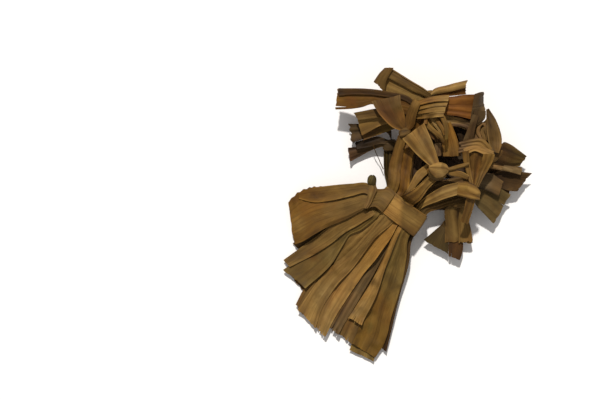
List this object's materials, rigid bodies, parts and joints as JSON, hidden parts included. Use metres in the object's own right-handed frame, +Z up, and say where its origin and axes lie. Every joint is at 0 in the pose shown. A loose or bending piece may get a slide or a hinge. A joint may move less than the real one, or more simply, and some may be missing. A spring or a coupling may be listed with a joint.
{
  "type": "bundle of dried banana leaves",
  "caption": "Bundle of dried banana leaf strips, tied round the middle with a leaf band, with a flat spread skirt at one end and a loose head of knotted strips at the other.",
  "frame": {"origin": "on the surface it lies on, under the middle of the band that ties it", "axes": "+Y along the bundle from the skirt to the knotted head, +X to the right seen from above with the head away from the viewer, +Z up from the surface"},
  "size_m": [0.1841, 0.2425, 0.0397],
  "materials": {
    "tan": "matt dried leaf",
    "golden": "matt dried leaf",
    "brown": "matt dried leaf",
    "dark": "matt dried leaf",
    "olive": "matt dried leaf"
  },
  "bodies": {
    "root": {"skirt_leaf_01": "dark", "skirt_leaf_02": "brown", "skirt_leaf_03": "brown", "skirt_leaf_04": "dark", "hanging_leaf_low": "dark", "left_leaf_low": "dark", "right_leaf_low": "brown", "head_leaf_under": "dark", "skirt_leaf_05": "olive", "skirt_leaf_06": "brown", "skirt_leaf_07": "tan", "hanging_leaf": "tan", "right_leaf_middle": "olive", "right_leaf_tall": "brown", "skirt_leaf_08": "tan", "skirt_leaf_09": "dark", "left_leaf_middle": "tan", "top_leaf": "tan", "crossing_leaf": "golden", "right_leaf_top": "golden", "skirt_leaf_10": "olive", "left_leaf_top": "brown", "front_leaf": "tan", "skirt_leaf_11": "tan", "skirt_leaf_12": "golden", "skirt_leaf_13": "tan", "skirt_leaf_14": "olive", "skirt_leaf_15": "tan", "neck_band": "tan"}
  },
  "joints": []
}
